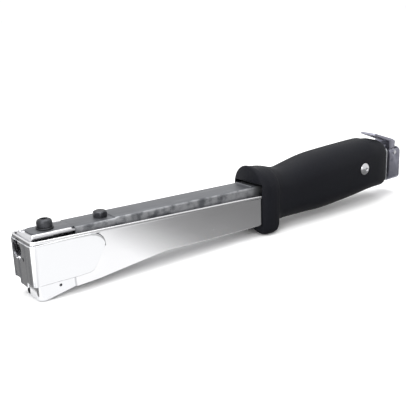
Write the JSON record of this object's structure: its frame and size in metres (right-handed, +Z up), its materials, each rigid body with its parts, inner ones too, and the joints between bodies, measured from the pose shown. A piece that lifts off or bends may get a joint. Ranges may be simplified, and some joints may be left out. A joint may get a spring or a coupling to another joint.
{
  "type": "hammer tacker staple gun",
  "caption": "Hammer tacker: chrome casing with a nose, a steel arm that swings into it, a moulded grip with guard, and a slide-out magazine with latch.",
  "frame": {"origin": "middle of the nose's striking face, where the staple leaves", "axes": "+X back along the magazine to the grip, +Y across, +Z up, away from the work"},
  "size_m": [0.34, 0.038, 0.0546],
  "materials": {
    "casing_chrome": "bright chrome plate",
    "cover_chrome": "chrome plate with faint vertical drawing lines",
    "hardened_steel": "hardened, oil-blackened steel",
    "zinc_sheet": "zinc-plated sheet",
    "bronze": "sintered bronze",
    "arm_steel": "dark grey satin steel",
    "bright_steel": "bright steel",
    "black_oxide": "black oxide",
    "buffer_rubber": "moulded rubber",
    "grip_rubber": "soft black rubber with a fine texture",
    "spring_steel": "spring wire",
    "latch_zinc": "zinc-plated steel"
  },
  "bodies": {
    "casing_body": {"casing": "casing_chrome", "head_cover": "cover_chrome", "nose_shell": "cover_chrome", "nose_block": "hardened_steel", "channel_roof": "zinc_sheet", "channel_sides": "zinc_sheet", "spring_seat": "zinc_sheet", "pivot_bush": "bronze", "end_plate": "zinc_sheet", "return_spring": "spring_steel"},
    "arm_body": {"hammer_arm": "arm_steel", "driver_holder": "bright_steel", "driver_bolt": "black_oxide", "driver_washer": "black_oxide", "bumper_bolt": "black_oxide", "bumper": "buffer_rubber", "driver_peg": "hardened_steel", "grip": "grip_rubber", "pivot_rivet": "bright_steel", "pivot_washers": "bright_steel"},
    "driver": {"driver_blade": "hardened_steel"},
    "magazine": {"magazine_rail": "zinc_sheet", "pusher_rod": "bright_steel", "magazine_bracket": "latch_zinc", "rail_rivets": "bright_steel", "latch_pin": "bright_steel", "pusher_spring": "spring_steel"},
    "pusher_body": {"pusher": "zinc_sheet"},
    "latch": {"latch_lever": "latch_zinc", "latch_spring": "spring_steel"}
  },
  "joints": [
    {"name": "hammer_swing", "type": "hinge", "parent": "casing_body", "child": "arm_body", "pos_m": [0.281, 0, 0.0306], "axis": [0, -1, 0], "range_deg": [0, 3.5], "stiffness_Nm_per_rad": 60, "springref_deg": -4.58, "deforming": ["return_spring"]},
    {"name": "driver_slide", "type": "slide", "parent": "casing_body", "child": "driver", "axis": [0, 0, -1], "range_m": [0, 0.0174]},
    {"name": "magazine_slide", "type": "slide", "parent": "casing_body", "child": "magazine", "axis": [1, 0, 0], "range_m": [0, 0.15]},
    {"name": "pusher_slide", "type": "slide", "parent": "magazine", "child": "pusher_body", "axis": [1, 0, 0], "range_m": [0, 0.1], "stiffness_N_per_m": 40, "springref_m": -0.1, "deforming": ["pusher_spring"]},
    {"name": "latch_tilt", "type": "hinge", "parent": "magazine", "child": "latch", "pos_m": [0.3265, 0, 0.0362], "axis": [0, 1, 0], "range_deg": [0, 15], "stiffness_Nm_per_rad": 0.3, "springref_deg": -22.92}
  ],
  "couplings": [
    {"joint": "driver_slide", "follows": "hammer_swing", "m_per_rad": 0.281}
  ]
}
